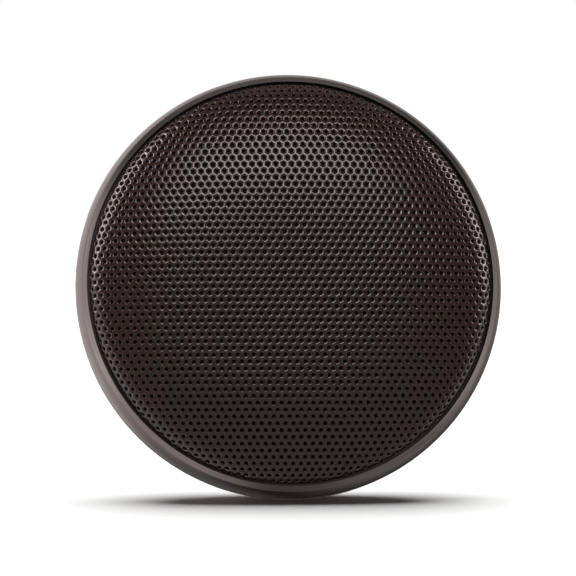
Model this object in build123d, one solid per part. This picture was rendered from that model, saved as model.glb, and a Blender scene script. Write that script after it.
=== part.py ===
"""Round portable speaker: a domed grille in a lacquered ring, a rear shell and the works inside.

Every piece is modelled on the speaker's own axis: X to the right, Y up across the face and Z
forwards, from the centre of the widest circle.  The last step leans the whole speaker back and
stands it on its foot.  Lengths are millimetres and angles are degrees.
"""
import os
from math import cos, pi, radians, sin

from build123d import *

# ---- driving dimensions ----
BODY_R = 60.0             # widest radius, shared by the front ring and the rear shell
LEAN = 8.0                # how far the face leans back when the speaker stands
SEAM_Z = -3.0             # parting line between the front ring and the rear shell
SEAM_GAP = 0.2

FRONT_DEPTH = 35.0        # depth of the ellipse that rounds the front ring's outside
CREASE_Z = 8.8            # where that ellipse breaks into the ring's inner band
LIP_R = 56.65             # opening of the ring at its front lip
LIP_Z = 10.5
LEDGE_Z = 3.5             # top of the ledge inside the ring
LEDGE_T = 2.0
LEDGE_R = 46.5
TONGUE_IN = 56.0          # tongue behind the ring that centres it in the shell
TONGUE_OUT = 57.4
TONGUE_Z = -5.0

SHELL_DEPTH = 30.0        # depth of the superellipse that rounds the rear shell
SHELL_POWER = 2.8
SHELL_WALL = 2.0
BACK_Z = -28.0            # flat back of the shell

GRILLE_R = 55.95          # outside of the grille's skirt
GRILLE_TOP = 19.8         # height of the dome's middle
GRILLE_T = 0.8
CENTRE_FALL = 7.46        # how far the dome falls away gently over its whole radius
EDGE_FALL = 1.7           # and how much more it falls close to its rim
CENTRE_POWER = 3.3
EDGE_POWER = 30
CLOTH_GAP = 0.35
CLOTH_T = 0.2

BAFFLE_R = 53.4
BAFFLE_Z = 3.8            # back of the baffle, on its gasket
BAFFLE_T = 2.2
FLANGE_Z = BAFFLE_Z + BAFFLE_T      # front of the baffle, which both drivers sit on

DRIVER_Y = -12.0          # centre of the main driver, below the middle of the face
DRIVER_R = 34.5
DRIVER_SCREW_R = 32.4
SPIDER_SEAT = -1.9
TWEETER_Y = 36.0
TWEETER_R = 11.0

CHASSIS_Z = -16.5         # back of the chassis plate
CHASSIS_T = 1.5
BOARD_Z = -13.0           # back of the main board
BOARD_T = 1.6
BOARD_R = 48.5

BUTTON_Z = -8.5           # buttons sit just behind the seam, along the top of the side
BUTTON_STEP = 11.0
KEY_R = 51.5              # radius of the curved key board under the buttons
CAP_PROUD = 0.3           # how far a button stands out of the shell
ICON_DEPTH = 0.25         # how deep its symbol is sunk
LED_OFFSET = 30.5         # angle from the top to the light on one side and the microphone on the other

PORT_Z = BOARD_Z + BOARD_T      # top of the main board, which the sockets stand on
USB_Y = -6.0
USB_Z = PORT_Z + 1.63
AUX_Y = 6.5
AUX_Z = PORT_Z + 2.5
AUX_R = 1.8
PORT_X = 57.9             # flat bottom of the recesses round the sockets

POST_R = 50.0             # circle of the five housing screws
POST_ANGLES = (33, 147, 213, 270, 327)
CHASSIS_SCREW_R = 46.0
CHASSIS_SCREW_ANGLES = (60, 120, 240, 300)
BOARD_SCREWS = ((-43, 3), (-18, 42), (18, 42), (33, -7))

FOOT_HALF_W = 9.0
FOOT_SPAN = 16.3          # length of the foot from front to back
FOOT_SINK = 0.15          # how much of the round bottom the foot's flat takes away
PAD_R = 26.8

BOTTOM = (Align.CENTER, Align.CENTER, Align.MIN)


# ---- shared shapes ----
def disc(radius, low, high, x=0, y=0):
    """A solid cylinder along the speaker's axis, between two heights."""
    return Pos(x, y, low) * Cylinder(radius, high - low, align=BOTTOM)


def tube(outer, inner, low, high, x=0, y=0):
    return disc(outer, low, high, x, y) - disc(inner, low - 1, high + 1, x, y)


def block(width, height, low, high, x=0, y=0):
    return Pos(x, y, low) * Box(width, height, high - low, align=BOTTOM)


def slab(width, height, corner, low, high, x=0, y=0):
    """A plate with round corners, square to the speaker's axis."""
    return Pos(x, y, low) * extrude(RectangleRounded(width, height, corner), high - low)


def turned(*edges):
    """Turn a closed outline of (radius, height) edges round the speaker's axis."""
    outline = Curve() + list(edges)
    return revolve(Plane.XZ * make_face(outline), Axis.Z)


def turned_polygon(*points):
    return turned(Polyline(*points, close=True))


def on_circle(radius, angle):
    """The point at an angle on a circle round the speaker's axis."""
    return radius * cos(radians(angle)), radius * sin(radians(angle))


def radial(angle):
    """A frame on the axis whose Z points out of the side at an angle and whose Y points forwards."""
    return Pos(0, 0, BUTTON_Z) * Plane(origin=(0, 0, 0), x_dir=(sin(radians(angle)), -cos(radians(angle)), 0),
                                       z_dir=(cos(radians(angle)), sin(radians(angle)), 0)).location


def pill(length, width, low, high):
    """A round-ended bar that stands along Z, for slots, caps and their clearances."""
    return Pos(0, 0, low) * extrude(SlotOverall(length, width), high - low)


def cable(radius, *points):
    """A round cable through a few points."""
    path = Spline(*points)
    start = Plane(origin=path @ 0, z_dir=path % 0)
    return sweep(start * Circle(radius), path)


def ball_cap(radius, rise, thick):
    """A thin cap cut from a ball, standing on Z = 0."""
    ball_r = (radius ** 2 + rise ** 2) / (2 * rise)
    ball = Pos(0, 0, rise - ball_r) * (Sphere(ball_r) - Sphere(ball_r - thick))
    return ball & disc(radius + 1, 0, rise + 1)


def pan_screw(shank_r, length, head_r, head_h):
    """A pan-head screw with a cross recess; the head's underside is at Z = 0."""
    head = fillet(disc(head_r, 0, head_h).edges().group_by(Axis.Z)[-1], head_h * 0.45)
    cross = block(head_r * 1.1, head_r * 0.26, head_h * 0.45, head_h)
    cross += block(head_r * 0.26, head_r * 1.1, head_h * 0.45, head_h)
    return head + disc(shank_r, -length, 0.1) - cross


def shell_radius(z, inset=0.0):
    """Radius of the rear shell at a height, or of the surface some way inside it."""
    depth = SHELL_DEPTH - inset
    return (BODY_R - inset) * (1 - (abs(z) / depth) ** SHELL_POWER) ** (1 / SHELL_POWER)


def shell_curve(inset, front, back, points=12):
    """The shell's outline from front to back, with its points closer together round the bend."""
    depth = SHELL_DEPTH - inset
    first = (-front / depth) ** (SHELL_POWER / 2)
    last = (-back / depth) ** (SHELL_POWER / 2)
    heights = [-depth * (first + (last - first) * sin(pi / 2 * i / points)) ** (2 / SHELL_POWER)
               for i in range(points + 1)]
    return Spline(*[(shell_radius(z, inset), z) for z in heights])


def shell_solid(inset, front, back):
    """The full round body inside the shell's surface, or inside one set in from it."""
    top_r = shell_radius(front, inset)
    back_r = shell_radius(back, inset)
    return turned(shell_curve(inset, front, back),
                  Polyline((back_r, back), (0, back), (0, front), (top_r, front)))


def dome_point(share, offset):
    """A point of the grille's dome at a share of its radius, set in along the surface normal."""
    radius = (GRILLE_R - 0.3) * share
    height = GRILLE_TOP - CENTRE_FALL * share ** CENTRE_POWER - EDGE_FALL * share ** EDGE_POWER
    slope = CENTRE_POWER * CENTRE_FALL * share ** (CENTRE_POWER - 1)
    slope += EDGE_POWER * EDGE_FALL * share ** (EDGE_POWER - 1)
    slope /= GRILLE_R
    length = (1 + slope ** 2) ** 0.5
    return radius - offset * slope / length, height - offset / length


def dome_curve(offset, last_share, points=18):
    shares = [last_share * sin(pi / 2 * i / points) for i in range(points + 1)]
    return Spline(*[dome_point(share, offset) for share in shares])


# ---- housing ----
def ring_outside(z):
    return BODY_R * (1 - (z / FRONT_DEPTH) ** 2) ** 0.5


def front_ring():
    """Lacquered ring: rounded outside, a crease, a flat inner band, a ledge and a rear tongue."""
    low = SEAM_Z + SEAM_GAP / 2
    under = LEDGE_Z - LEDGE_T
    heights = [low + (CREASE_Z - low) * i / 5 for i in range(6)]
    outside = Spline(*[(ring_outside(z), z) for z in heights])
    band_end = (LIP_R + 0.28, LIP_Z - 0.2)
    lip = ThreePointArc(band_end, (LIP_R + 0.12, LIP_Z - 0.12), (LIP_R, LIP_Z - 0.45))
    band = Line((ring_outside(CREASE_Z), CREASE_Z), band_end)
    inside = Polyline((LIP_R, LIP_Z - 0.45), (LIP_R, LEDGE_Z), (LEDGE_R, LEDGE_Z), (LEDGE_R, under),
                      (TONGUE_IN, under), (TONGUE_IN, TONGUE_Z), (TONGUE_OUT, TONGUE_Z),
                      (TONGUE_OUT, low), (ring_outside(low), low))
    ring = turned(outside, band, lip, inside)
    for angle in POST_ANGLES:
        ring -= disc(1.45, under - 1, LEDGE_Z + 1, *on_circle(POST_R, angle))
    return ring


def foot_space():
    """The space behind the seam that the standing foot fills, level with the table."""
    body = Box(2 * FOOT_HALF_W, FOOT_SPAN, 12.0, align=BOTTOM)
    body = fillet(body.edges().filter_by(Axis.Z), 3.0)
    body = chamfer(body.edges().group_by(Axis.Z)[0], 0.5)
    return STAND.inverse() * body & block(30, 30, -21.0, SEAM_Z - 0.9, 0, -55)


def standing_foot():
    """Rubber wedge let into the shell, with a level underside that the speaker stands on."""
    return foot_space() - shell_solid(1.0, SEAM_Z - 0.5, BACK_Z + 1)


def below_table():
    """Everything lower than the foot's underside."""
    return STAND.inverse() * Box(60, 60, 5, align=(Align.CENTER, Align.CENTER, Align.MAX))


def button_angles():
    return [90 + BUTTON_STEP * (2 - i) for i in range(5)]


def rear_shell():
    """Rear shell with its screw posts, chassis bosses, button slots, sockets and pad recess."""
    front = SEAM_Z - SEAM_GAP / 2
    back_in = BACK_Z + SHELL_WALL
    outer = shell_solid(0, front, BACK_Z)
    shell = outer - shell_solid(SHELL_WALL, front, back_in)
    envelope = outer + disc(56, front, 3)
    under_ledge = LEDGE_Z - LEDGE_T
    for angle in POST_ANGLES:
        x, y = on_circle(POST_R, angle)
        post = disc(3.4, back_in - 1, under_ledge, x, y) & envelope
        shell = shell + post - disc(2.0, -6, under_ledge + 1, x, y)
    for angle in CHASSIS_SCREW_ANGLES:
        x, y = on_circle(CHASSIS_SCREW_R, angle)
        boss = disc(2.8, back_in - 1, CHASSIS_Z, x, y) & outer
        shell = shell + boss - disc(1.02, -21, CHASSIS_Z + 1, x, y)
    for angle in button_angles():
        shell -= radial(angle) * pill(9.0, 5.4, KEY_R, BODY_R + 2)
    shell -= radial(90 + LED_OFFSET) * pill(3.6, 1.4, KEY_R, BODY_R + 2)
    shell -= radial(90 - LED_OFFSET) * Pos(0, 0, KEY_R) * Cylinder(0.5, 12, align=BOTTOM)
    shell -= socket_cut(USB_Y, USB_Z, SlotOverall(13.0, 7.4), SlotOverall(9.5, 3.8))
    shell -= socket_cut(AUX_Y, AUX_Z, Circle(4.3), Circle(2.65))
    shell -= disc(PAD_R + 0.05, BACK_Z - 1, BACK_Z + 0.8)
    return shell - standing_foot() - below_table()


def socket_cut(y, z, recess, hole):
    """A flat-bottomed recess in the right side with a hole through the wall for a socket."""
    cut = Pos(0, 0, PORT_X) * extrude(recess, 5)
    cut += Pos(0, 0, PORT_X - 6) * extrude(hole, 7)
    return out_of_side(y, z) * cut


def out_of_side(y, z):
    """A frame whose Z points out of the right side and whose X runs along the side."""
    return Location((0, y, z), (0, 90, 0)) * Rot(0, 0, 90)


def seam_gasket():
    low = SEAM_Z - SEAM_GAP / 2
    return tube(59.2, 58.0, low, low + SEAM_GAP)


def rear_pad():
    """Round rubber pad on the flat back, with four shallow rings."""
    pad = disc(PAD_R, BACK_Z - 0.6, BACK_Z + 0.8)
    pad = fillet(pad.edges().group_by(Axis.Z)[0], 0.4)
    for i in range(4):
        radius = 7 + 5 * i
        pad -= tube(radius + 0.8, radius, BACK_Z - 1, BACK_Z - 0.3)
    return pad


def housing_screws():
    """Five screws that hold the baffle and the ring to the shell's posts."""
    screw = pan_screw(1.25, 10.0, 2.3, 1.6)
    return [Pos(*on_circle(POST_R, angle), FLANGE_Z) * screw for angle in POST_ANGLES]


def thread_inserts():
    high = LEDGE_Z - LEDGE_T - 0.1
    insert = tube(2.0, 1.27, high - 5.5, high) - tube(3, 1.75, high - 3.2, high - 2.4)
    return [Pos(*on_circle(POST_R, angle), 0) * insert for angle in POST_ANGLES]


# ---- grille ----
def front_grille():
    """Domed metal grille, closed here, with its rim bent down into a short skirt."""
    rim_out, rim_in = dome_point(1, 0), dome_point(1, GRILLE_T)
    inner_r = GRILLE_R - GRILLE_T
    foot = LEDGE_Z + 0.2
    bend_z = rim_out[1] - 0.75
    inner_bend_z = min(rim_in[1], bend_z) - 0.35
    outer, middle = dome_curve(0, 1), Line(dome_point(0, 0), dome_point(0, GRILLE_T))
    bend = Spline(rim_out, (GRILLE_R, bend_z), tangents=[outer % 1, (0, -1)])
    skirt = Polyline((GRILLE_R, bend_z), (GRILLE_R, foot), (inner_r, foot), (inner_r, inner_bend_z), rim_in)
    return turned(outer, bend, skirt, dome_curve(GRILLE_T, 1), middle)


def grille_cloth():
    """Sound cloth stretched under the grille."""
    top = GRILLE_T + CLOTH_GAP
    last = 0.975
    return turned(dome_curve(top, last), Line(dome_point(last, top), dome_point(last, top + CLOTH_T)),
                  dome_curve(top + CLOTH_T, last), Line(dome_point(0, top), dome_point(0, top + CLOTH_T)))


def grille_retainer():
    """Plastic ring inside the grille's skirt that carries the cloth's edge."""
    return tube(GRILLE_R - GRILLE_T - 0.1, BAFFLE_R + 0.2, LEDGE_Z, 9.7)


# ---- baffle and drivers ----
def baffle():
    plate = disc(BAFFLE_R, BAFFLE_Z, FLANGE_Z)
    plate -= disc(29.3, BAFFLE_Z - 1, FLANGE_Z + 1, 0, DRIVER_Y)
    plate -= disc(9.3, BAFFLE_Z - 1, FLANGE_Z + 1, 0, TWEETER_Y)
    for angle in POST_ANGLES:
        plate -= disc(1.45, BAFFLE_Z - 1, FLANGE_Z + 1, *on_circle(POST_R, angle))
    for x, y in driver_screw_places():
        plate -= disc(1.05, BAFFLE_Z - 1, FLANGE_Z + 1, x, y)
    return plate


def baffle_gasket():
    return tube(53.3, 52.5, LEDGE_Z, BAFFLE_Z)


def driver_screw_places():
    around = [on_circle(DRIVER_SCREW_R, angle) for angle in range(0, 360, 60)]
    return [(x, y + DRIVER_Y) for x, y in around]


def driver_basket():
    """Steel basket: a flange on the baffle, six struts and a seat for the motor."""
    top = FLANGE_Z + 1.6
    wall = turned_polygon((28.8, FLANGE_Z), (17.0, -5.0), (12.2, -5.0), (12.2, -3.8), (16.0, -3.8),
                          (18.0, SPIDER_SEAT), (19.8, SPIDER_SEAT), (27.2, FLANGE_Z - 0.9), (27.2, top),
                          (DRIVER_R, top), (DRIVER_R, FLANGE_Z))
    for angle in range(30, 360, 60):
        wall -= Rot(0, 0, angle) * block(12, 15, -1.0, 4.4, 23.5, 0)
    for angle in range(0, 360, 60):
        wall -= disc(1.05, FLANGE_Z - 1, top + 1, *on_circle(DRIVER_SCREW_R, angle))
    lug = Rot(0, 0, 120) * block(6, 6, 4.4, FLANGE_Z - 0.05, 28.0, 0)
    lug -= turned_polygon((0, -6), (27.0, -6), (27.0, 7), (0, 7))
    wall += lug & disc(28.9, 0, 7)
    return Pos(0, DRIVER_Y, 0) * wall


def driver_gasket():
    return tube(30.6, 28.6, FLANGE_Z + 1.9, FLANGE_Z + 3.0, 0, DRIVER_Y)


def cone_height(radius):
    """Back of the cone at a radius; it rises straight from the coil to the surround."""
    return 1.2 + (radius - 10.25) * 5.2 / 13.35


def driver_cone():
    inner, outer, thick = 10.25, 23.6, 0.5
    cone = turned_polygon((inner, cone_height(inner)), (outer, cone_height(outer)),
                          (outer, cone_height(outer) + thick), (inner, cone_height(inner) + thick))
    return Pos(0, DRIVER_Y, 0) * cone


def driver_surround():
    """Rubber half roll between the cone and the flange."""
    base = FLANGE_Z + 1.6
    start = cone_height(23.0) + 0.5
    thick = 0.3
    roll = turned(Line((22.9, start), (23.9, base)),
                  ThreePointArc((23.9, base), (25.9, base + 1.9), (27.9, base)),
                  Polyline((27.9, base), (30.6, base), (30.6, base + thick), (28.15, base + thick)),
                  ThreePointArc((28.15, base + thick), (25.9, base + 1.9 + thick), (23.65, base + thick)),
                  Polyline((23.65, base + thick), (22.7, start + thick), (22.9, start)))
    return Pos(0, DRIVER_Y, 0) * roll


def dust_cap():
    """Domed cap glued over the middle of the cone."""
    radius = 11.2
    return Pos(0, DRIVER_Y, cone_height(radius) + 0.52) * ball_cap(radius, 3.0, 0.4)


def voice_coil_former():
    return tube(10.2, 10.0, -9.5, 1.7, 0, DRIVER_Y)


def voice_coil():
    return tube(10.9, 10.2, -9.5, -3.5, 0, DRIVER_Y)


def spider():
    """Corrugated ring that centres the coil."""
    inner, outer, waves, swing, thick = 10.25, 19.6, 3.5, 0.45, 0.25
    steps = 28

    def wave(i, lift):
        share = i / steps
        height = SPIDER_SEAT + lift + swing * (1 + cos(2 * pi * waves * share))
        return inner + (outer - inner) * share, height

    disc_edges = [Spline(*[wave(i, 0) for i in range(steps + 1)]),
                  Line(wave(steps, 0), wave(steps, thick)),
                  Spline(*[wave(i, thick) for i in range(steps, -1, -1)]),
                  Line(wave(0, thick), wave(0, 0))]
    return Pos(0, DRIVER_Y, 0) * turned(*disc_edges)


def motor_yoke():
    cup = disc(14.5, -15.5, -5.0) - disc(11.4, -13.0, -4.0)
    return Pos(0, DRIVER_Y, 0) * chamfer(cup.edges().group_by(Axis.Z)[0], 0.8)


def driver_magnet():
    return disc(9.2, -13.0, -8.0, 0, DRIVER_Y)


def pole_plate():
    return disc(9.6, -8.0, -5.0, 0, DRIVER_Y)


def driver_terminals():
    """Two solder tags on a small card that hangs from the basket's rim."""
    place = Pos(0, DRIVER_Y, 0) * Rot(0, 0, 120)
    card = block(1.0, 9.0, 1.0, 4.35, 28.2, 0)
    tags = [block(0.5, 1.6, -1.5, 3.0, 28.95, side * 2.5) for side in (-1, 1)]
    return [place * card] + [place * tag for tag in tags]


def driver_screws():
    screw = pan_screw(1.0, 3.8, 1.8, 1.1)
    return [Pos(x, y, FLANGE_Z + 1.6) * screw for x, y in driver_screw_places()]


def tweeter_faceplate():
    plate = turned_polygon((7.0, FLANGE_Z), (TWEETER_R, FLANGE_Z), (TWEETER_R, FLANGE_Z + 1.2),
                           (TWEETER_R - 0.5, FLANGE_Z + 1.6), (8.4, FLANGE_Z + 1.6), (7.0, FLANGE_Z + 0.8))
    for angle in (30, 150, 270):
        plate -= disc(0.6, FLANGE_Z - 1, FLANGE_Z + 2, *on_circle(9.6, angle))
    return Pos(0, TWEETER_Y, 0) * plate


def tweeter_dome():
    return Pos(0, TWEETER_Y, FLANGE_Z + 0.4) * ball_cap(6.4, 2.4, 0.25)


def tweeter_coil():
    return tube(6.3, 5.95, 1.6, FLANGE_Z + 0.38, 0, TWEETER_Y)


def tweeter_magnet():
    return disc(5.3, -2.0, 4.6, 0, TWEETER_Y)


def tweeter_yoke():
    cup = disc(9.0, -4.0, FLANGE_Z) - disc(6.9, -2.0, FLANGE_Z + 1)
    return Pos(0, TWEETER_Y, 0) * chamfer(cup.edges().group_by(Axis.Z)[0], 0.6)


# ---- chassis, battery and boards ----
def chassis_plate():
    """Plate across the shell that carries the main board and holds the battery down."""
    top = CHASSIS_Z + CHASSIS_T
    plate = disc(52.0, CHASSIS_Z, top)
    plate -= disc(15.2, CHASSIS_Z - 1, top + 1, 0, DRIVER_Y)
    plate -= slab(12, 5, 1.5, CHASSIS_Z - 1, top + 1, 0, 29)
    for angle in POST_ANGLES:
        plate -= disc(3.8, CHASSIS_Z - 1, top + 1, *on_circle(POST_R, angle))
    for angle in CHASSIS_SCREW_ANGLES:
        plate -= disc(1.15, CHASSIS_Z - 1, top + 1, *on_circle(CHASSIS_SCREW_R, angle))
    for x, y in BOARD_SCREWS:
        plate += disc(2.6, top, BOARD_Z, x, y)
        plate -= disc(1.02, CHASSIS_Z - 1, BOARD_Z + 1, x, y)
    return plate


def chassis_screws():
    screw = pan_screw(1.0, 5.5, 1.9, 1.2)
    top = CHASSIS_Z + CHASSIS_T
    return [Pos(*on_circle(CHASSIS_SCREW_R, angle), top) * screw for angle in CHASSIS_SCREW_ANGLES]


def battery_pad():
    return slab(50, 38, 3, BACK_Z + SHELL_WALL, -24.8)


def battery_cells():
    """Two flat pouch cells side by side."""
    cell = slab(27.4, 44, 2.5, -24.8, -17.6)
    cell = fillet(cell.edges().filter_by(GeomType.LINE).filter_by(Axis.Z, reverse=True), 1.5)
    return [Pos(side * 14.0, 0, 0) * cell for side in (-1, 1)]


def battery_board():
    return block(36, 0.9, -23.5, -19.0, 0, 22.7)


def main_board():
    """D-shaped board round the motor, with a tab out to the sockets."""
    board = disc(BOARD_R, BOARD_Z, PORT_Z) & block(120, 62, BOARD_Z, PORT_Z, 0, 20)
    board += slab(16, 24, 1.5, BOARD_Z, PORT_Z, 45, 0)
    board -= disc(16.5, BOARD_Z - 1, PORT_Z + 1, 0, DRIVER_Y)
    for angle in POST_ANGLES:
        board -= disc(4.1, BOARD_Z - 1, PORT_Z + 1, *on_circle(POST_R, angle))
    for x, y in BOARD_SCREWS:
        board -= disc(1.1, BOARD_Z - 1, PORT_Z + 1, x, y)
    return board


def board_screws():
    screw = pan_screw(1.0, 4.6, 1.9, 1.2)
    return [Pos(x, y, PORT_Z) * screw for x, y in BOARD_SCREWS]


def on_board(width, height, thick, x, y):
    return block(width, height, PORT_Z, PORT_Z + thick, x, y)


def board_chips():
    """Processor, amplifiers, the radio under its can, the antenna and small parts."""
    places = ((6, 6, 1.0, 0, 20), (6.5, 2.2, 1.2, 2, 43.5), (7, 7, 1.0, -14, 7), (7, 7, 1.0, 15, 8),
              (5, 4, 0.9, 36, 18), (4, 4, 0.9, -32, 10), (3, 1.6, 0.8, -10, 30), (3, 1.6, 0.8, 10, 30),
              (3, 1.6, 0.8, 26, 24))
    return [on_board(*place) for place in places]


def shield_can():
    return on_board(18, 14, 2.4, 0, 20) - block(17.4, 13.4, BOARD_Z, PORT_Z + 2.1, 0, 20)


def capacitors():
    can = fillet(disc(3.15, PORT_Z, PORT_Z + 5.8).edges(), 0.4)
    return [Pos(x, y, 0) * can for x, y in ((-30, 24), (-24, 32), (-38, 17))]


def inductors():
    coil = fillet(on_board(6, 6, 3, 0, 0).edges().filter_by(Axis.Z), 1.2)
    return [Pos(x, y, 0) * coil for x, y in ((22, 17), (30, 30), (25, 36.5))]


def usb_connector():
    """Charging socket: a round-ended metal shell, open at the mouth."""
    body = pill(8.94, 3.2, PORT_X - 7.3, PORT_X) - pill(8.3, 2.56, PORT_X - 6.2, PORT_X + 1)
    return out_of_side(USB_Y, USB_Z) * body


def usb_tongue():
    return out_of_side(USB_Y, USB_Z) * Pos(0, 0, PORT_X - 6.2) * Box(6.7, 0.7, 5.4, align=BOTTOM)


def aux_jack():
    """Headphone-type socket with a round snout and a blind bore."""
    body = Pos(49.3, AUX_Y, PORT_Z) * Box(12.4, 6.4, 4.9, align=BOTTOM)
    snout = disc(2.45, 55.0, PORT_X)
    bore = disc(AUX_R, PORT_X - 14.0, PORT_X + 1)
    return body + out_of_side(AUX_Y, AUX_Z) * snout - out_of_side(AUX_Y, AUX_Z) * bore


# ---- buttons ----
def key_carrier():
    """Curved carrier that backs the key board, held between the ledge and the chassis plate."""
    low, high = CHASSIS_Z + CHASSIS_T, -4.8
    arc = tube(KEY_R, KEY_R - 1.7, low, high) & fan(LED_OFFSET + 4, low, high)
    ends = tube(KEY_R, KEY_R - 1.7, high - 0.1, LEDGE_Z - LEDGE_T)
    ends &= fan(LED_OFFSET + 4, high - 0.1, LEDGE_Z) - fan(LED_OFFSET + 1.5, high - 1, LEDGE_Z + 1)
    return arc + ends


def fan(half_angle, low, high):
    """A wedge about the top of the speaker, to cut arcs with."""
    reach = 70.0
    left, right = on_circle(reach, 90 + half_angle), on_circle(reach, 90 - half_angle)
    return Pos(0, 0, low) * extrude(make_face(Polyline((0, 0), right, (0, 1.25 * reach), left, close=True)),
                                    high - low)


def key_board():
    return tube(KEY_R + 0.4, KEY_R, -13.5, -5.0) & fan(LED_OFFSET + 3.5, -13.5, -5.0)


def tact_switches():
    """One switch under each button."""
    case = Pos(0, 0, KEY_R + 0.45) * Box(5, 4.6, 1.45, align=BOTTOM)
    knob = Pos(0, 0, KEY_R + 1.9) * Cylinder(1.2, 0.6, align=BOTTOM)
    return [radial(angle) * (case + knob) for angle in button_angles()]


def icon_power():
    ring = Circle(1.05) - Circle(0.75) - Pos(0, 1) * Rectangle(0.7, 1.2)
    return ring + Pos(0, 0.75) * Rectangle(0.3, 1.1)


def icon_wireless():
    """Two arcs over a dot."""
    fan_up = make_face(Polyline((0, 0), (2, 2), (-2, 2), close=True))
    waves = Sketch() + Circle(0.22)
    for radius in (0.8, 1.4):
        waves += (Circle(radius) - Circle(radius - 0.3)) & fan_up
    return Pos(0, -0.6) * waves


def icon_minus():
    return Rectangle(2.0, 0.32)


def icon_plus():
    return Rectangle(2.0, 0.32) + Rectangle(0.32, 2.0)


def icon_play():
    return make_face(Polyline((-0.8, -0.95), (1.0, 0), (-0.8, 0.95), close=True))


def button(angle, icon):
    """A cap that follows the shell's curve, its retaining flange and a stem over the switch."""
    cap = radial(angle) * pill(8.5, 4.9, 54.9, BODY_R + 2)
    cap &= shell_solid(-CAP_PROUD, -1.0, -24.0)
    cap -= radial(angle) * Pos(0, 0, 57) * extrude(icon, 5) - shell_solid(ICON_DEPTH - CAP_PROUD, -1.0, -24.0)
    flange = radial(angle) * pill(9.8, 6.0, 55.1, 55.8)
    stem = radial(angle) * Pos(0, 0, KEY_R + 3.1) * Cylinder(1.5, 0.6, align=BOTTOM)
    return cap + flange + stem


def led_window():
    window = radial(90 + LED_OFFSET) * pill(3.56, 1.36, KEY_R + 1.3, BODY_R + 2)
    return window & shell_solid(-0.02, -1.0, -24.0)


def status_led():
    return radial(90 + LED_OFFSET) * Pos(0, 0, KEY_R + 0.42) * Box(3.0, 1.4, 0.7, align=BOTTOM)


def microphone():
    return radial(90 - LED_OFFSET) * Pos(0, 0, KEY_R + 0.45) * Box(3.5, 2.7, 1.0, align=BOTTOM)


def microphone_boot():
    boot = Cylinder(1.5, 3.6, align=BOTTOM) - Cylinder(0.45, 3.6, align=BOTTOM)
    return radial(90 - LED_OFFSET) * Pos(0, 0, KEY_R + 1.47) * boot


# ---- wiring ----
def speaker_wires():
    """The pair from the driver's tags to the main board."""
    return [cable(0.55, (-16.6 + dx, 11.8 + dy, -1.8), (-20.0 + dx, 13.0 + dy, -4.2),
                  (-23.5 + dx, 14.5 + dy, -8.0), (-24.0 + dx, 15.0 + dy, PORT_Z + 0.2))
            for dx, dy in ((0, 0), (4.3, 2.5))]


def tweeter_wires():
    return [cable(0.45, (x, 36.0, -4.2), (x, 35.5, -6.5), (x, 34.0, -9), (x, 33.8, PORT_Z + 0.1))
            for x in (-1.6, 1.6)]


def battery_wires():
    return [cable(0.6, (x, 23.9, -20.5), (x, 26.5, -18.4), (x, 28.6, -16.4), (x, 29.2, BOARD_Z - 0.15))
            for x in (-2, 2)]


def ribbon_cable():
    """Flat flex from the key board over the carrier and down to the main board."""
    outline = Polyline((47.0, PORT_Z), (47.0, -4.5), (51.75, -4.5), (51.75, -5.0), (51.5, -5.0),
                       (51.5, -4.75), (47.3, -4.75), (47.3, PORT_Z), close=True)
    return extrude(Plane.YZ * make_face(outline), 4, both=True)


# ---- standing the speaker up ----
FOOT_MIDDLE = 3.35        # how far the foot's middle is behind the centre of the widest circle
STAND_HEIGHT = BODY_R - FOOT_SINK
STAND = Location((0, -FOOT_MIDDLE, STAND_HEIGHT), (90 - LEAN, 0, 0))

BUTTONS = {
    "button_power": icon_power(),
    "button_wireless": icon_wireless(),
    "button_minus": icon_minus(),
    "button_play": icon_play(),
    "button_plus": icon_plus(),
}

PIECES = [
    front_ring, rear_shell, seam_gasket, standing_foot, rear_pad, housing_screws, thread_inserts,
    front_grille, grille_cloth, grille_retainer,
    baffle, baffle_gasket, driver_basket, driver_gasket, driver_cone, driver_surround, dust_cap,
    voice_coil_former, voice_coil, spider, motor_yoke, driver_magnet, pole_plate, driver_terminals,
    driver_screws, tweeter_faceplate, tweeter_dome, tweeter_coil, tweeter_magnet, tweeter_yoke,
    chassis_plate, chassis_screws, battery_pad, battery_cells, battery_board,
    main_board, board_screws, board_chips, shield_can, capacitors, inductors,
    usb_connector, usb_tongue, aux_jack,
    key_carrier, key_board, tact_switches, led_window, status_led, microphone, microphone_boot,
    speaker_wires, tweeter_wires, battery_wires, ribbon_cable,
]


def save(name, solids):
    """Stand a piece up with the rest of the speaker and write it out as its own node."""
    if isinstance(solids, list):
        solids = Compound(children=[STAND * solid for solid in solids])
    else:
        solids = STAND * solids
    solids.label = name
    export_step(solids, f"parts/{name}.step")


os.makedirs("parts", exist_ok=True)
for make_piece in PIECES:
    save(make_piece.__name__, make_piece())
for (name, icon), angle in zip(BUTTONS.items(), button_angles()):
    save(name, button(angle, icon))
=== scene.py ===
"""Round portable speaker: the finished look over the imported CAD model.

Shapes are worked out on the speaker's own axis, in millimetres: X to the right, Y up across the
face, Z forwards from the centre of the widest circle.  PLACE takes them to the frame, in metres.
"""
from math import atan2, ceil, cos, hypot, pi, radians, sin, sqrt, tan

import bpy
from mathutils import Matrix, Vector

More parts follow.
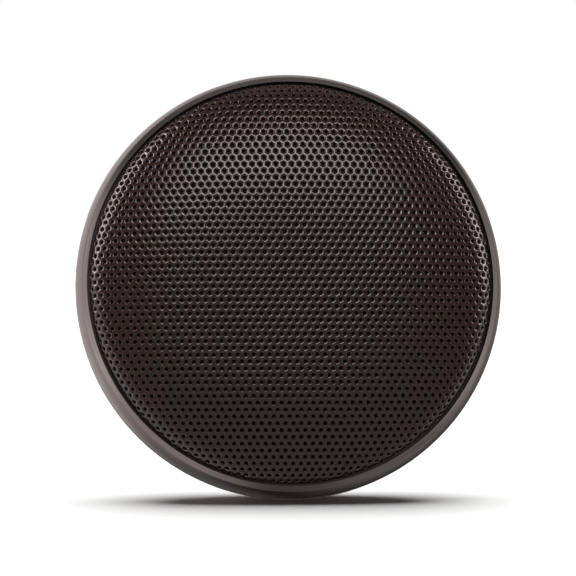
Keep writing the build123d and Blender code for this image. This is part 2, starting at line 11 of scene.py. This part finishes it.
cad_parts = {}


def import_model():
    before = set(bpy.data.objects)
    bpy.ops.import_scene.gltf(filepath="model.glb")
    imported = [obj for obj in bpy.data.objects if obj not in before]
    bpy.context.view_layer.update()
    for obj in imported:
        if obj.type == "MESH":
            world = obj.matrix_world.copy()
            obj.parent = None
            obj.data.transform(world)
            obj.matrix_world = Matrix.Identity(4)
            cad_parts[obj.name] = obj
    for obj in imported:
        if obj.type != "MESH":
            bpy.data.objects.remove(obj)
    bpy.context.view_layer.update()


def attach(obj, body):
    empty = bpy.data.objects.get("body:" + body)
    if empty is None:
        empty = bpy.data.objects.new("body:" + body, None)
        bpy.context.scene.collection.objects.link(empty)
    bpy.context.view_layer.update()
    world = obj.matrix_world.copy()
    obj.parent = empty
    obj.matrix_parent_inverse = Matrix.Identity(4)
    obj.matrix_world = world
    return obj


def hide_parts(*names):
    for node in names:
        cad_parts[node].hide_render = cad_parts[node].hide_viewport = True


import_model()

# ---- the speaker's own sizes, in millimetres ----
MM = 0.001
LEAN = radians(8)
CENTRE = Vector((0, -3.35, 59.85)) * MM      # middle of the widest circle, over the standing foot
PLACE = Matrix.Translation(CENTRE) @ Matrix.Rotation(pi / 2 - LEAN, 4, "X") @ Matrix.Scale(MM, 4)

BODY_R = 60.0
SEAM_Z = -3.0
SEAM_GAP = 0.2
FRONT_DEPTH = 35.0
CREASE_Z = 8.8
BEAD_R = 0.10                           # fine round bead that runs along the crease
BEAD_START, BEAD_END = -50, 85
LIP_R, LIP_Z = 56.65, 10.5
LIP_CORNER = 0.05                       # radius of the lip's outer corner
SEAM_CORNER = 0.2                       # radius of the corner at the seam
CORNER_ROOM = 0.25                      # plain stretch left for a corner at each end of the outside
LEDGE_R, LEDGE_Z, LEDGE_T = 46.5, 3.5, 2.0
TONGUE_R, TONGUE_IN, TONGUE_Z = 57.4, 56.0, -5.0

GRILLE_R = 55.95
GRILLE_TOP = 19.8
GRILLE_T = 0.8
DOME_STEPS, BEND_STEPS = 240, 12        # points along the dome, and round its turned-down rim
CENTRE_FALL, CENTRE_POWER = 7.46, 3.3
EDGE_FALL, EDGE_POWER = 1.7, 30
EDGE_BEND = 0.3                         # width left for the rim's turn down into the skirt
SKIRT_LIFT = 0.25                       # gap between the skirt's end and the ledge
CLOTH_GAP = 0.4
CLOTH_SHARE = 0.985                     # how far the cloth reaches towards the rim
CLOTH_PINHOLE = 0.02                    # radius of the opening that stands for the cloth's middle

HOLE_PITCH = 2.19
HOLE_R = 0.60
HOLE_SIDES = 12
LIP_ROUND = 0.09                        # how wide and how deep a hole's edge is rounded
HAIR = 0.001                            # keeps an edge of a hole just off the sheet's back face
RIM_OVERLAP = 0.1                       # how far the sheet's cells run past the bend
PLAIN_RIM = 0.25                        # cells centred in this last stretch have no hole
LATTICE_X, LATTICE_Y = 1.05, -0.1       # where one hole is, from the middle of the dome


# ---- mesh helpers ----
def mesh_object(name, points, faces, sharp=35):
    """A smooth-shaded piece from points on the speaker's axis, whose broad faces shade flat."""
    mesh = bpy.data.meshes.new(name)
    mesh.from_pydata([PLACE @ Vector(p) for p in points], [], faces)
    mesh.validate()
    mesh.polygons.foreach_set("use_smooth", [True] * len(mesh.polygons))
    mesh.set_sharp_from_angle(angle=radians(sharp))
    piece = bpy.data.objects.new(name, mesh)
    bpy.context.scene.collection.objects.link(piece)
    flat_faces = piece.modifiers.new("flat_faces", "WEIGHTED_NORMAL")
    flat_faces.keep_sharp = True
    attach(piece, "speaker")
    return piece


def arc(middle, radius, start, end, steps):
    """Points on an arc in the (radius, height) plane; angles are in degrees."""
    angles = [radians(start + (end - start) * i / steps) for i in range(steps + 1)]
    return [(middle[0] + radius * cos(a), middle[1] + radius * sin(a)) for a in angles]


def lathe(profile, segments=360, closed=True):
    """Points and faces of a (radius, height) profile turned round the axis."""
    points, faces = [], []
    count = len(profile)
    for i in range(segments):
        a = 2 * pi * i / segments
        points += [(r * cos(a), r * sin(a), z) for r, z in profile]
    for i in range(segments):
        here, there = i * count, (i + 1) % segments * count
        for j in range(count if closed else count - 1):
            k = (j + 1) % count
            faces.append((here + j, there + j, there + k, here + k))
    return points, faces


# ---- front ring ----
def ring_outside(z):
    return BODY_R * sqrt(1 - (z / FRONT_DEPTH) ** 2)


def rounded_corner(before, corner, after, radius, steps=6):
    """The points that round a corner of a profile."""
    corner = Vector(corner)
    to_before = (Vector(before) - corner).normalized()
    to_after = (Vector(after) - corner).normalized()
    half = to_before.angle(to_after) / 2
    reach = radius / tan(half)
    middle = corner + (to_before + to_after).normalized() * (radius / sin(half))
    start, end = corner + to_before * reach - middle, corner + to_after * reach - middle
    turn = start.angle_signed(end)
    made = []
    for i in range(steps + 1):
        made.append(tuple(middle + Matrix.Rotation(-turn * i / steps, 2) @ start))
    return made


def front_ring():
    """Rounded outside, softened crease, flat inner band and a rolled lip."""
    low = SEAM_Z + SEAM_GAP / 2
    under = LEDGE_Z - LEDGE_T
    steps = 22
    span = CREASE_Z - low - 2 * CORNER_ROOM
    heights = [low + CORNER_ROOM + span * i / steps for i in range(steps + 1)]
    outside = [(ring_outside(z), z) for z in heights]
    crease = (ring_outside(CREASE_Z), CREASE_Z)
    lip = (LIP_R, LIP_Z + LIP_CORNER)
    profile = [(ring_outside(low) - CORNER_ROOM, low)]
    profile += rounded_corner(profile[0], (ring_outside(low), low), outside[0], SEAM_CORNER)
    profile += outside
    profile += arc(crease, BEAD_R, BEAD_START, BEAD_END, 8)
    profile += rounded_corner(crease, lip, (LIP_R, LEDGE_Z), LIP_CORNER, 4)
    profile += [(LIP_R, (LIP_Z + LEDGE_Z) / 2), (LIP_R, LEDGE_Z), (LEDGE_R, LEDGE_Z), (LEDGE_R, under)]
    profile += [(TONGUE_IN, under), (TONGUE_IN, TONGUE_Z), (TONGUE_R, TONGUE_Z), (TONGUE_R, low)]
    piece = mesh_object("ring_body", *lathe(profile))
    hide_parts("front_ring")
    return piece


# ---- grille ----
def dome_at(share):
    """Radius, height and slope of the dome's outside at a share of its radius."""
    radius = (GRILLE_R - EDGE_BEND) * share
    height = GRILLE_TOP - CENTRE_FALL * share ** CENTRE_POWER - EDGE_FALL * share ** EDGE_POWER
    slope = CENTRE_POWER * CENTRE_FALL * share ** (CENTRE_POWER - 1)
    slope += EDGE_POWER * EDGE_FALL * share ** (EDGE_POWER - 1)
    return radius, height, slope / GRILLE_R


def grille_outline():
    """The outside from the middle over the rim and down the skirt: (length, radius, height, tilt)."""
    line = []
    for i in range(DOME_STEPS + 1):
        radius, height, slope = dome_at(i / DOME_STEPS)
        line.append((radius, height, atan2(slope, 1)))
    radius, height, tilt = line[-1]
    bend = (GRILLE_R - radius) / (1 - sin(tilt))
    middle = (radius - bend * sin(tilt), height - bend * cos(tilt))
    for i in range(1, BEND_STEPS + 1):
        a = tilt + (pi / 2 - tilt) * i / BEND_STEPS
        line.append((middle[0] + bend * sin(a), middle[1] + bend * cos(a), a))
    line.append((GRILLE_R, LEDGE_Z + SKIRT_LIFT, pi / 2))
    outline, length = [], 0.0
    for i, (radius, height, tilt) in enumerate(line):
        if i:
            length += hypot(radius - line[i - 1][0], height - line[i - 1][1])
        outline.append((length, radius, height, tilt))
    return outline


OUTLINE = grille_outline()
FULL_LENGTH = OUTLINE[-1][0]
RIM_LENGTH = OUTLINE[DOME_STEPS + BEND_STEPS][0]


def on_grille(length, depth):
    """(radius, height) some way along the outline from the middle, and some depth under it."""
    low, high = 0, len(OUTLINE) - 1
    while high - low > 1:
        mid = (low + high) // 2
        if OUTLINE[mid][0] <= length:
            low = mid
        else:
            high = mid
    a, b = OUTLINE[low], OUTLINE[high]
    share = (length - a[0]) / (b[0] - a[0])
    radius, height, tilt = [a[k] + (b[k] - a[k]) * share for k in (1, 2, 3)]
    return radius - depth * sin(tilt), height - depth * cos(tilt)


class Sheet:
    """Collects the grille's points, laid out flat and bent on to the dome, each place only once."""

    def __init__(self):
        self.points, self.faces, self.known = [], [], {}

    def point(self, x, y, depth, end):
        length = min(hypot(x, y), end)
        angle = atan2(y, x)
        key = (round(length * cos(angle), 3), round(length * sin(angle), 3), round(depth, 3))
        if key not in self.known:
            radius, height = on_grille(length, depth)
            self.known[key] = len(self.points)
            self.points.append((radius * cos(angle), radius * sin(angle), height))
        return self.known[key]

    def face(self, *corners):
        kept = [c for i, c in enumerate(corners) if c != corners[i - 1]]
        if len(set(kept)) == len(kept) > 2:
            self.faces.append(tuple(kept))


def front_grille():
    """Perforated dome: one hexagon of sheet for each hole, and plain ones along the rim."""
    sheet = Sheet()
    end = RIM_LENGTH + RIM_OVERLAP
    corner_r = HOLE_PITCH / sqrt(3)
    rows = ceil(end / (HOLE_PITCH * sqrt(3) / 2)) + 1
    spokes = [radians(60 * k + 30) for k in range(6)]
    corners = [(corner_r * cos(t), corner_r * sin(t)) for t in spokes]
    turns = [2 * pi * k / HOLE_SIDES + radians(30) for k in range(HOLE_SIDES)]
    step = HOLE_SIDES // 6
    for row in range(-rows, rows + 1):
        y = row * HOLE_PITCH * sqrt(3) / 2 + LATTICE_Y
        for column in range(-rows - 1, rows + 2):
            x = (column + (row % 2) / 2) * HOLE_PITCH + LATTICE_X
            if hypot(x, y) > end + corner_r:
                continue
            edge = [sheet.point(x + cx, y + cy, 0, end) for cx, cy in corners]
            back = [sheet.point(x + cx, y + cy, GRILLE_T, end) for cx, cy in corners]
            if hypot(x, y) > end - PLAIN_RIM:
                sheet.face(*edge)
                sheet.face(*reversed(back))
                continue
            wide = HOLE_R + LIP_ROUND
            outer = [sheet.point(x + wide * cos(t), y + wide * sin(t), HAIR / 10, end) for t in turns]
            inner = [sheet.point(x + HOLE_R * cos(t), y + HOLE_R * sin(t), LIP_ROUND, end) for t in turns]
            low = GRILLE_T - HAIR
            deep = [sheet.point(x + HOLE_R * cos(t), y + HOLE_R * sin(t), low, end) for t in spokes]
            for k in range(HOLE_SIDES):
                m = (k + 1) % HOLE_SIDES
                sheet.face(outer[k], outer[m], inner[m], inner[k])
            for k in range(6):
                m = (k + 1) % 6
                a, b, c = k * step, k * step + 1, (k + 1) * step % HOLE_SIDES
                sheet.face(edge[k], edge[m], outer[c], outer[b], outer[a])
                sheet.face(inner[a], inner[b], inner[c], deep[m], deep[k])
                sheet.face(back[m], back[k], deep[k], deep[m])
    return sheet


def skirt(sheet):
    """The plain skirt between the last holes and the ledge, joined to the sheet's rim by overlap."""
    start = RIM_LENGTH - RIM_OVERLAP / 2
    middle = (start + FULL_LENGTH) / 2
    outside = [on_grille(s, 0) for s in (start, RIM_LENGTH + RIM_OVERLAP, middle, FULL_LENGTH)]
    inside = [on_grille(s, GRILLE_T) for s in (FULL_LENGTH, middle, start)]
    profile = outside + inside
    points, faces = lathe(profile, 288)
    base = len(sheet.points)
    sheet.points += points
    sheet.faces += [tuple(base + i for i in f) for f in faces]


def make_grille():
    sheet = front_grille()
    skirt(sheet)
    piece = mesh_object("grille_sheet", sheet.points, sheet.faces, sharp=75)
    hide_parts("front_grille")
    return piece


def make_cloth():
    """Sound cloth that follows the dome just behind the sheet."""
    depth = GRILLE_T + CLOTH_GAP
    steps = 40
    lengths = [RIM_LENGTH * CLOTH_SHARE * i / steps for i in range(steps + 1)]
    profile = [on_grille(s, depth) for s in lengths]
    profile[0] = (CLOTH_PINHOLE, profile[0][1])
    piece = mesh_object("sound_cloth", *lathe(profile, 144, closed=False))
    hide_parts("grille_cloth")
    return piece


# ---- materials ----
class Paint:
    """A node material with a few helpers for procedural detail."""

    def __init__(self, name, color, roughness, metallic=0.0, **sockets):
        self.material = bpy.data.materials.new(name)
        self.material.use_nodes = True
        self.nodes = self.material.node_tree.nodes
        self.links = self.material.node_tree.links
        self.shader = self.nodes["Principled BSDF"]
        self.shader.inputs["Base Color"].default_value = (*color, 1)
        self.shader.inputs["Roughness"].default_value = roughness
        self.shader.inputs["Metallic"].default_value = metallic
        for socket, value in sockets.items():
            self.shader.inputs[socket.replace("_", " ")].default_value = value
        self.color = color
        self.coords = self.nodes.new("ShaderNodeTexCoord").outputs["Object"]

    def noise(self, size, detail=3.0, distortion=0.0):
        """Noise whose features are about this many millimetres across."""
        node = self.nodes.new("ShaderNodeTexNoise")
        node.inputs["Scale"].default_value = 1 / (size * MM)
        node.inputs["Detail"].default_value = detail
        node.inputs["Distortion"].default_value = distortion
        self.links.new(self.coords, node.inputs["Vector"])
        return node.outputs["Fac"]

    def turned(self, pitch, stretch=150):
        """Fine lines round the speaker's axis, as a lathe leaves; each is a noise this much longer."""
        from_centre = self.vector("SUBTRACT", self.coords, CENTRE)
        upright = self.nodes.new("ShaderNodeVectorRotate")
        upright.rotation_type = "X_AXIS"
        upright.inputs["Angle"].default_value = LEAN - pi / 2
        self.links.new(from_centre.outputs["Vector"], upright.inputs["Vector"])
        across = self.vector("MULTIPLY", upright.outputs["Vector"], (1, 1, 0))
        radius = self.vector("LENGTH", across.outputs["Vector"])
        outwards = self.nodes.new("ShaderNodeCombineXYZ")
        self.links.new(radius.outputs["Value"], outwards.inputs["X"])
        place = self.vector("MULTIPLY_ADD", upright.outputs["Vector"], (1 / stretch, 1 / stretch, 1))
        self.links.new(outwards.outputs["Vector"], place.inputs[2])
        node = self.nodes.new("ShaderNodeTexNoise")
        node.inputs["Scale"].default_value = 1 / (pitch * MM)
        node.inputs["Detail"].default_value = 2.0
        self.links.new(place.outputs["Vector"], node.inputs["Vector"])
        return node.outputs["Fac"]

    def vector(self, operation, value, other=(0, 0, 0)):
        """One step of vector arithmetic on a socket."""
        node = self.nodes.new("ShaderNodeVectorMath")
        node.operation = operation
        node.inputs[1].default_value = other
        self.links.new(value, node.inputs[0])
        return node

    def spread(self, value, low, high):
        """Maps the middle of a noise's values, where nearly all of them lie, to a range."""
        node = self.nodes.new("ShaderNodeMapRange")
        node.inputs["From Min"].default_value = 0.3
        node.inputs["From Max"].default_value = 0.7
        node.inputs["To Min"].default_value = low
        node.inputs["To Max"].default_value = high
        self.links.new(value, node.inputs["Value"])
        return node.outputs["Result"]

    def tint(self, value, dark, light):
        """A colour between two factors of the base colour."""
        node = self.nodes.new("ShaderNodeMix")
        node.data_type = "RGBA"
        node.inputs["A"].default_value = (*[c * dark for c in self.color], 1)
        node.inputs["B"].default_value = (*[min(c * light, 1) for c in self.color], 1)
        self.links.new(value, node.inputs["Factor"])
        self.links.new(node.outputs["Result"], self.shader.inputs["Base Color"])

    def rough(self, value, low, high):
        self.links.new(self.spread(value, low, high), self.shader.inputs["Roughness"])

    def bump(self, value, height, strength=1.0):
        """Bump of this height in millimetres."""
        node = self.nodes.new("ShaderNodeBump")
        node.inputs["Distance"].default_value = height * MM
        node.inputs["Strength"].default_value = strength
        self.links.new(value, node.inputs["Height"])
        self.links.new(node.outputs["Normal"], self.shader.inputs["Normal"])

    def put_on(self, *names):
        for name in names:
            obj = bpy.data.objects.get(name)
            obj.data.materials.clear()
            obj.data.materials.append(self.material)


def lacquer(name, color, roughness):
    """Satin lacquer with a fine mineral grain and faint cloudiness."""
    paint = Paint(name, color, roughness, 0.9)
    grain = paint.noise(0.4, 2.0)
    cloud = paint.noise(14.0, 3.0)
    paint.tint(paint.spread(grain, 0, 1), 0.65, 1.35)
    paint.rough(cloud, roughness - 0.05, roughness + 0.06)
    paint.bump(grain, 0.05, 0.6)
    return paint


def spun_lacquer(name, color, roughness):
    """The same lacquer on a ring that was turned on a lathe."""
    paint = Paint(name, color, roughness, 0.9)
    lines = paint.turned(0.22)
    paint.tint(paint.spread(lines, 0, 1), 0.72, 1.28)
    paint.rough(paint.noise(14.0), roughness - 0.04, roughness + 0.05)
    paint.bump(lines, 0.02, 0.6)
    return paint


def satin_metal(name, color, roughness, grain_size=0.3, metallic=1.0):
    paint = Paint(name, color, roughness, metallic)
    grain = paint.noise(grain_size, 3.0)
    paint.tint(paint.spread(paint.noise(6.0), 0, 1), 0.88, 1.12)
    paint.rough(paint.noise(3.0), roughness - 0.06, roughness + 0.08)
    paint.bump(grain, 0.01, 0.4)
    return paint


def moulded(name, color, roughness, grain_size=0.5, height=0.02, **sockets):
    """Moulded plastic or rubber with a fine spark-eroded grain."""
    paint = Paint(name, color, roughness, **sockets)
    grain = paint.noise(grain_size, 4.0)
    paint.tint(paint.spread(paint.noise(9.0), 0, 1), 0.88, 1.12)
    paint.rough(grain, roughness - 0.06, roughness + 0.08)
    paint.bump(grain, height, 0.6)
    return paint


def paint_everything():
    spun_lacquer("ring_lacquer", (0.178, 0.162, 0.160), 0.26).put_on("ring_body")
    lacquer("shell_lacquer", (0.150, 0.139, 0.138), 0.32).put_on("rear_shell")
    sheet = Paint("grille_paint", (0.0265, 0.0152, 0.0114), 0.19)
    sheet.tint(sheet.spread(sheet.noise(0.35, 2.0), 0, 1), 0.7, 1.3)
    sheet.rough(sheet.noise(5.0), 0.17, 0.22)
    sheet.bump(sheet.noise(0.2, 2.0), 0.012, 0.4)
    sheet.put_on("grille_sheet")
    cloth = moulded("cloth_weave", (0.006, 0.006, 0.006), 0.9, 0.3, 0.05,
                    Sheen_Weight=0.1, Sheen_Roughness=0.6)
    cloth.put_on("sound_cloth")
    moulded("soft_rubber", (0.028, 0.026, 0.025), 0.62).put_on(
        "rear_pad", "standing_foot", "seam_gasket", "microphone_boot")
    moulded("key_rubber", (0.088, 0.077, 0.073), 0.45).put_on(
        "button_power", "button_wireless", "button_minus", "button_play", "button_plus")
    moulded("black_plastic", (0.018, 0.018, 0.018), 0.5).put_on(
        "grille_retainer", "baffle", "chassis_plate", "key_carrier", "usb_tongue", "aux_jack",
        "tweeter_faceplate")
    moulded("foam", (0.03, 0.03, 0.03), 0.95, 0.6, 0.1).put_on(
        "baffle_gasket", "driver_gasket", "battery_pad")
    satin_metal("plated_steel", (0.33, 0.33, 0.34), 0.38).put_on(
        "driver_basket", "motor_yoke", "pole_plate", "tweeter_yoke")
    satin_metal("magnet", (0.28, 0.28, 0.30), 0.3).put_on("driver_magnet", "tweeter_magnet")
    satin_metal("black_steel", (0.08, 0.08, 0.085), 0.35).put_on(
        "housing_screws", "driver_screws", "chassis_screws", "board_screws")
    satin_metal("brass", (0.70, 0.48, 0.18), 0.3).put_on("thread_inserts")
    moulded("paper_cone", (0.025, 0.025, 0.025), 0.85, 0.8, 0.06).put_on("driver_cone", "dust_cap")
    moulded("surround_rubber", (0.02, 0.02, 0.02), 0.5).put_on("driver_surround")
    moulded("spider_cloth", (0.45, 0.30, 0.10), 0.9, 0.4, 0.1).put_on("spider")
    moulded("former_paper", (0.35, 0.20, 0.08), 0.6).put_on("voice_coil_former")
    satin_metal("copper_wire", (0.60, 0.26, 0.12), 0.3).put_on("voice_coil", "tweeter_coil")
    moulded("dome_film", (0.05, 0.05, 0.05), 0.35).put_on("tweeter_dome")
    moulded("board_mask", (0.01, 0.07, 0.03), 0.35).put_on(
        "main_board", "battery_board", "key_board", "driver_terminals")
    moulded("chip_resin", (0.015, 0.015, 0.016), 0.55).put_on("board_chips", "microphone", "inductors")
    satin_metal("aluminium", (0.62, 0.62, 0.63), 0.33).put_on("capacitors", "battery_cells")
    satin_metal("socket_steel", (0.55, 0.55, 0.56), 0.28).put_on(
        "usb_connector", "tact_switches", "shield_can")
    moulded("light_window", (0.42, 0.42, 0.41), 0.25).put_on("led_window", "status_led")
    moulded("red_wire", (0.30, 0.015, 0.012), 0.4).put_on("speaker_wires", "tweeter_wires", "battery_wires")
    moulded("amber_flex", (0.32, 0.13, 0.02), 0.25).put_on("ribbon_cable")


# ---- camera, floor and light ----
WARM = (1.0, 0.905, 0.865)
CAMERA_LEFT, CAMERA_UP = 3.5, 1.8        # how far round from straight in front, in degrees
CAMERA_AWAY = 0.930
BODY_SHARE = 0.3698                     # body's radius as a share of the image's width
SHIFT_X, SHIFT_Y = -0.0012, -0.0028


def direction(azimuth, elevation):
    """A unit vector from the speaker; azimuth 0 is the front, and 90 its right."""
    a, e = radians(azimuth), radians(elevation)
    return Vector((sin(a) * cos(e), -cos(a) * cos(e), sin(e)))


def camera():
    data = bpy.data.cameras.new("camera")
    cam = bpy.data.objects.new("camera", data)
    bpy.context.scene.collection.objects.link(cam)
    back = direction(-CAMERA_LEFT, CAMERA_UP)
    cam.rotation_mode = "QUATERNION"
    cam.location = CENTRE + back * CAMERA_AWAY
    cam.rotation_quaternion = (-back).to_track_quat("-Z", "Y")
    data.sensor_width = 36.0
    data.lens = BODY_SHARE / (BODY_R * MM) * CAMERA_AWAY * data.sensor_width
    data.shift_x, data.shift_y = SHIFT_X, SHIFT_Y
    data.clip_start, data.clip_end = 0.05, 20
    bpy.context.scene.camera = cam


def softbox(name, azimuth, elevation, away, width, height, power):
    """A rectangular light that faces the speaker."""
    data = bpy.data.lights.new(name, "AREA")
    data.shape = "RECTANGLE"
    data.size, data.size_y = width, height
    data.energy = power
    data.color = WARM
    lamp = bpy.data.objects.new(name, data)
    bpy.context.scene.collection.objects.link(lamp)
    way = direction(azimuth, elevation)
    lamp.location = CENTRE + way * away
    lamp.rotation_mode = "QUATERNION"
    lamp.rotation_quaternion = (-way).to_track_quat("-Z", "Y")
    return lamp


def floor():
    """Pale floor with its own overhead light, so that it stays white and takes a soft shadow."""
    mesh = bpy.data.meshes.new("floor")
    reach = 8.0
    mesh.from_pydata([(-reach, -reach, 0), (reach, -reach, 0), (reach, reach, 0), (-reach, reach, 0)],
                     [], [(0, 1, 2, 3)])
    ground = bpy.data.objects.new("floor", mesh)
    bpy.context.scene.collection.objects.link(ground)
    paint = Paint("floor_pale", (0.3, 0.3, 0.3), 0.9)
    paint.rough(paint.noise(30.0), 0.85, 0.95)
    ground.data.materials.append(paint.material)
    ground.visible_diffuse = ground.visible_glossy = False
    only_floor = bpy.data.collections.new("lit_by_sky")
    only_floor.objects.link(ground)
    data = bpy.data.lights.new("sky", "SUN")
    data.energy = 13.2
    data.angle = radians(68)
    sky = bpy.data.objects.new("sky", data)
    sky.rotation_euler = (radians(-16), 0, 0)
    bpy.context.scene.collection.objects.link(sky)
    sky.light_linking.receiver_collection = only_floor


# Soft glows of the studio round the speaker: azimuth, elevation, full and fading angle, strength.
GLOWS = (
    (168, 12, 10, 34, 0.46),
    (176, 60, 15, 50, 0.30),
    (-140, 5, 18, 43, 0.90),
    (-158, -30, 5, 24, 0.22),
    (-98, 3, 10, 42, 1.20),
    (-92, -42, 15, 46, 1.05),
    (106, -2, 10, 42, 0.85),
    (110, -40, 15, 45, 0.48),
    (0, -85, 10, 40, 0.12),
    (0, 5, 40, 95, 0.03),
    (5, -34, 20, 58, 0.42),
)
LEAST_LIGHT = 0.03


def world():
    """White to look at; as light, a few soft glows round the speaker."""
    made = bpy.data.worlds.new("studio")
    bpy.context.scene.world = made
    made.use_nodes = True
    nodes, links = made.node_tree.nodes, made.node_tree.links
    nodes.clear()
    ray = nodes.new("ShaderNodeTexCoord").outputs["Generated"]
    level = None
    for azimuth, elevation, full, fading, strength in GLOWS:
        dot = nodes.new("ShaderNodeVectorMath")
        dot.operation = "DOT_PRODUCT"
        dot.inputs[1].default_value = direction(azimuth, elevation)
        links.new(ray, dot.inputs[0])
        fade = nodes.new("ShaderNodeMapRange")
        fade.interpolation_type = "SMOOTHSTEP"
        fade.inputs["From Min"].default_value = cos(radians(fading))
        fade.inputs["From Max"].default_value = cos(radians(full))
        fade.inputs["To Max"].default_value = strength
        links.new(dot.outputs["Value"], fade.inputs["Value"])
        add = nodes.new("ShaderNodeMath")
        links.new(fade.outputs["Result"], add.inputs[0])
        if level:
            links.new(level, add.inputs[1])
        else:
            add.inputs[1].default_value = LEAST_LIGHT
        level = add.outputs["Value"]
    seen, light = nodes.new("ShaderNodeBackground"), nodes.new("ShaderNodeBackground")
    seen.inputs["Color"].default_value = (1, 1, 1, 1)
    light.inputs["Color"].default_value = (*WARM, 1)
    links.new(level, light.inputs["Strength"])
    path, mix = nodes.new("ShaderNodeLightPath"), nodes.new("ShaderNodeMixShader")
    out = nodes.new("ShaderNodeOutputWorld")
    links.new(path.outputs["Is Camera Ray"], mix.inputs["Fac"])
    links.new(light.outputs["Background"], mix.inputs[1])
    links.new(seen.outputs["Background"], mix.inputs[2])
    links.new(mix.outputs["Shader"], out.inputs["Surface"])


def lights():
    above = softbox("key_above", -1, 35.5, away=1.0, width=0.74, height=0.26, power=5.0)
    left = softbox("strip_left", -90, 32, away=0.9, width=0.18, height=0.76, power=6.0)
    right = softbox("strip_right", 90, 25, away=0.9, width=0.18, height=0.70, power=4.6)
    not_floor = bpy.data.collections.new("not_lit_by_softboxes")
    not_floor.objects.link(bpy.data.objects["floor"])
    not_floor.collection_objects[0].light_linking.link_state = "EXCLUDE"
    above.light_linking.receiver_collection = not_floor
    only_grille = bpy.data.collections.new("lit_by_strips")
    only_grille.objects.link(bpy.data.objects["grille_sheet"])
    for lamp in (left, right):
        lamp.light_linking.receiver_collection = only_grille
    bpy.context.scene.view_settings.view_transform = "Standard"


camera()
front_ring()
make_grille()
make_cloth()
paint_everything()
floor()
world()
lights()
